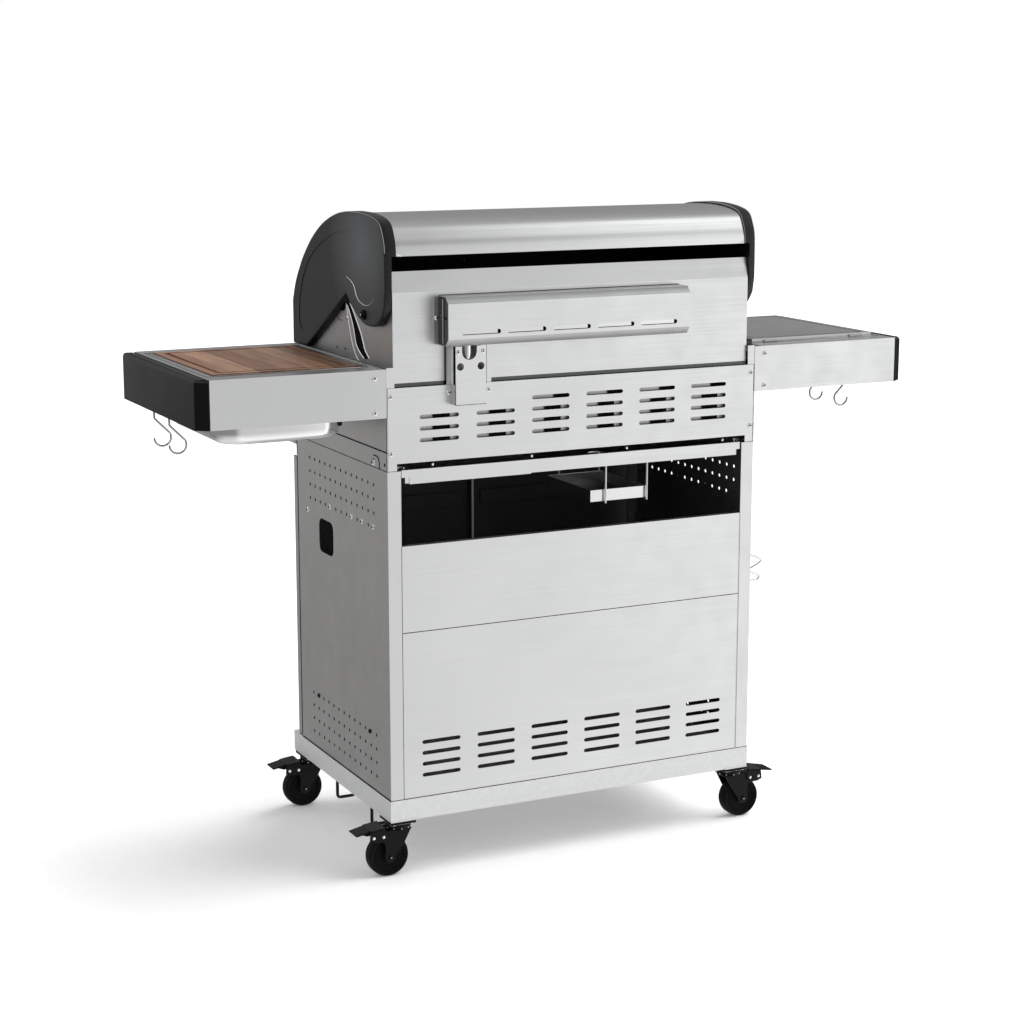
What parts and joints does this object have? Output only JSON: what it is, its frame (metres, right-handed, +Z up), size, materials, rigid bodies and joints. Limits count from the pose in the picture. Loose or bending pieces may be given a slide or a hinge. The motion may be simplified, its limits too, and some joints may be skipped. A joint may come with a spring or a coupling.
{
  "type": "gas grill",
  "caption": "Freestanding stainless gas grill on braked casters, with a rolled lid, rear burner, closed cabinet, grease tray, and side shelves for a cutting board and a covered burner",
  "frame": {"origin": "on the floor under the middle of the object's bounding box", "axes": "+Z is up, +X runs along the width to the shelf with the cutting board, +Y points to the rear of the grill, so the cook stands at -Y"},
  "size_m": [1.395, 0.549, 1.1592],
  "materials": {
    "brushed_stainless": "bright stainless sheet with a fine straight grain",
    "dull_stainless": "duller grey stainless sheet",
    "chrome_wire": "bright plated wire",
    "black_casting": "black, finely speckled coat on a light casting",
    "black_paint": "smooth black paint on pressed steel",
    "black_plastic": "fine satin texture",
    "black_rubber": "matt tread",
    "cast_iron": "matt dark iron",
    "walnut": "oiled strips laid lengthwise"
  },
  "bodies": {
    "cabinet": {"base_tray": "brushed_stainless", "side_panel_left": "dull_stainless", "side_panel_right": "dull_stainless", "rear_panel_upper": "brushed_stainless", "rear_panel_lower": "brushed_stainless", "rear_vent_cover": "brushed_stainless", "top_frame": "dull_stainless", "firebox": "dull_stainless", "firebox_back": "brushed_stainless", "rear_burner": "cast_iron", "rear_burner_cover": "brushed_stainless", "rear_burner_bracket": "brushed_stainless", "burners": "dull_stainless", "flame_tamers": "dull_stainless", "grate_left": "cast_iron", "grate_right": "cast_iron", "warming_rack": "chrome_wire", "control_panel": "brushed_stainless", "gas_manifold": "cast_iron", "shelf_left": "brushed_stainless", "shelf_right": "brushed_stainless", "shelf_cap_left": "black_plastic", "shelf_cap_right": "black_plastic", "gastro_pan": "brushed_stainless", "side_burner": "dull_stainless"},
    "lid": {"lid_shell": "brushed_stainless", "lid_cap_left": "black_casting", "lid_cap_right": "black_casting", "lid_handle": "brushed_stainless", "lid_thermometer": "chrome_wire"},
    "door_left": {"door_left": "brushed_stainless", "door_handle_left": "brushed_stainless"},
    "door_right": {"door_right": "brushed_stainless", "door_handle_right": "brushed_stainless"},
    "side_burner_lid": {"side_burner_lid": "brushed_stainless"},
    "drip_tray": {"drip_tray": "brushed_stainless"},
    "catch_pan": {"catch_pan": "brushed_stainless"},
    "cutting_board": {"cutting_board": "walnut"},
    "knob_1": {"knob_1": "black_plastic"},
    "knob_2": {"knob_2": "black_plastic"},
    "knob_3": {"knob_3": "black_plastic"},
    "knob_4": {"knob_4": "black_plastic"},
    "knob_5": {"knob_5": "black_plastic"},
    "knob_6": {"knob_6": "black_plastic"},
    "caster_front_left": {"caster_fork_front_left": "black_paint"},
    "wheel_front_left": {"caster_wheel_front_left": "black_rubber"},
    "pedal_front_left": {"caster_pedal_front_left": "black_paint"},
    "caster_front_right": {"caster_fork_front_right": "black_paint"},
    "wheel_front_right": {"caster_wheel_front_right": "black_rubber"},
    "pedal_front_right": {"caster_pedal_front_right": "black_paint"},
    "caster_rear_left": {"caster_fork_rear_left": "black_paint"},
    "wheel_rear_left": {"caster_wheel_rear_left": "black_rubber"},
    "pedal_rear_left": {"caster_pedal_rear_left": "black_paint"},
    "caster_rear_right": {"caster_fork_rear_right": "black_paint"},
    "wheel_rear_right": {"caster_wheel_rear_right": "black_rubber"},
    "pedal_rear_right": {"caster_pedal_rear_right": "black_paint"},
    "s_hook_1": {"s_hook_1": "chrome_wire"},
    "s_hook_2": {"s_hook_2": "chrome_wire"},
    "s_hook_3": {"s_hook_3": "chrome_wire"},
    "s_hook_4": {"s_hook_4": "chrome_wire"}
  },
  "joints": [
    {"name": "lid_hinge", "type": "hinge", "parent": "cabinet", "child": "lid", "pos_m": [0, 0.1435, 0.986], "axis": [-1, 0, 0], "range_deg": [0, 78]},
    {"name": "door_left_hinge", "type": "hinge", "parent": "cabinet", "child": "door_left", "pos_m": [0.3565, -0.2063, 0.143], "axis": [0, 0, 1], "range_deg": [0, 110]},
    {"name": "door_right_hinge", "type": "hinge", "parent": "cabinet", "child": "door_right", "pos_m": [-0.3565, -0.2063, 0.143], "axis": [0, 0, -1], "range_deg": [0, 110]},
    {"name": "side_burner_lid_hinge", "type": "hinge", "parent": "cabinet", "child": "side_burner_lid", "pos_m": [-0.5235, 0.1905, 0.905], "axis": [-1, 0, 0], "range_deg": [0, 95]},
    {"name": "drip_tray_slide", "type": "slide", "parent": "cabinet", "child": "drip_tray", "axis": [0, 1, 0], "range_m": [0, 0.3]},
    {"name": "catch_pan_slide", "type": "slide", "parent": "drip_tray", "child": "catch_pan", "axis": [-1, 0, 0], "range_m": [0, 0.08]},
    {"name": "cutting_board_lift", "type": "slide", "parent": "cabinet", "child": "cutting_board", "axis": [0, 0, 1], "range_m": [0, 0.15]},
    {"name": "knob_1_turn", "type": "hinge", "parent": "cabinet", "child": "knob_1", "pos_m": [-0.275, -0.23086, 0.815], "axis": [0, -0.9826, 0.186], "range_deg": [0, 180]},
    {"name": "knob_2_turn", "type": "hinge", "parent": "cabinet", "child": "knob_2", "pos_m": [-0.165, -0.23086, 0.815], "axis": [0, -0.9826, 0.186], "range_deg": [0, 180]},
    {"name": "knob_3_turn", "type": "hinge", "parent": "cabinet", "child": "knob_3", "pos_m": [-0.055, -0.23086, 0.815], "axis": [0, -0.9826, 0.186], "range_deg": [0, 180]},
    {"name": "knob_4_turn", "type": "hinge", "parent": "cabinet", "child": "knob_4", "pos_m": [0.055, -0.23086, 0.815], "axis": [0, -0.9826, 0.186], "range_deg": [0, 180]},
    {"name": "knob_5_turn", "type": "hinge", "parent": "cabinet", "child": "knob_5", "pos_m": [0.165, -0.23086, 0.815], "axis": [0, -0.9826, 0.186], "range_deg": [0, 180]},
    {"name": "knob_6_turn", "type": "hinge", "parent": "cabinet", "child": "knob_6", "pos_m": [0.275, -0.23086, 0.815], "axis": [0, -0.9826, 0.186], "range_deg": [0, 180]},
    {"name": "caster_front_left_swivel", "type": "hinge", "parent": "cabinet", "child": "caster_front_left", "pos_m": [0.342, -0.206, 0], "axis": [0, 0, 1], "continuous": true},
    {"name": "wheel_front_left_spin", "type": "hinge", "parent": "caster_front_left", "child": "wheel_front_left", "pos_m": [0.364, -0.206, 0.0375], "axis": [0, 1, 0], "continuous": true},
    {"name": "pedal_front_left_lift", "type": "hinge", "parent": "caster_front_left", "child": "pedal_front_left", "pos_m": [0.378, -0.206, 0.0775], "axis": [0, -1, 0], "range_deg": [0, 10]},
    {"name": "caster_front_right_swivel", "type": "hinge", "parent": "cabinet", "child": "caster_front_right", "pos_m": [-0.342, -0.206, 0], "axis": [0, 0, 1], "continuous": true},
    {"name": "wheel_front_right_spin", "type": "hinge", "parent": "caster_front_right", "child": "wheel_front_right", "pos_m": [-0.364, -0.206, 0.0375], "axis": [0, 1, 0], "continuous": true},
    {"name": "pedal_front_right_lift", "type": "hinge", "parent": "caster_front_right", "child": "pedal_front_right", "pos_m": [-0.378, -0.206, 0.0775], "axis": [0, 1, 0], "range_deg": [0, 10]},
    {"name": "caster_rear_left_swivel", "type": "hinge", "parent": "cabinet", "child": "caster_rear_left", "pos_m": [0.342, 0.215, 0], "axis": [0, 0, 1], "continuous": true},
    {"name": "wheel_rear_left_spin", "type": "hinge", "parent": "caster_rear_left", "child": "wheel_rear_left", "pos_m": [0.364, 0.215, 0.0375], "axis": [0, 1, 0], "continuous": true},
    {"name": "pedal_rear_left_lift", "type": "hinge", "parent": "caster_rear_left", "child": "pedal_rear_left", "pos_m": [0.378, 0.215, 0.0775], "axis": [0, -1, 0], "range_deg": [0, 10]},
    {"name": "caster_rear_right_swivel", "type": "hinge", "parent": "cabinet", "child": "caster_rear_right", "pos_m": [-0.342, 0.215, 0], "axis": [0, 0, 1], "continuous": true},
    {"name": "wheel_rear_right_spin", "type": "hinge", "parent": "caster_rear_right", "child": "wheel_rear_right", "pos_m": [-0.364, 0.215, 0.0375], "axis": [0, 1, 0], "continuous": true},
    {"name": "pedal_rear_right_lift", "type": "hinge", "parent": "caster_rear_right", "child": "pedal_rear_right", "pos_m": [-0.378, 0.215, 0.0775], "axis": [0, 1, 0], "range_deg": [0, 10]},
    {"name": "s_hook_1_swing", "type": "hinge", "parent": "cabinet", "child": "s_hook_1", "pos_m": [0.6749, -0.042, 0.831], "axis": [1, 0, 0], "range_deg": [-15, 15]},
    {"name": "s_hook_2_swing", "type": "hinge", "parent": "cabinet", "child": "s_hook_2", "pos_m": [0.6749, 0.045, 0.831], "axis": [1, 0, 0], "range_deg": [-15, 15]},
    {"name": "s_hook_3_swing", "type": "hinge", "parent": "cabinet", "child": "s_hook_3", "pos_m": [-0.6749, -0.01, 0.831], "axis": [1, 0, 0], "range_deg": [-15, 15]},
    {"name": "s_hook_4_swing", "type": "hinge", "parent": "cabinet", "child": "s_hook_4", "pos_m": [-0.6749, 0.076, 0.831], "axis": [1, 0, 0], "range_deg": [-15, 15]}
  ]
}
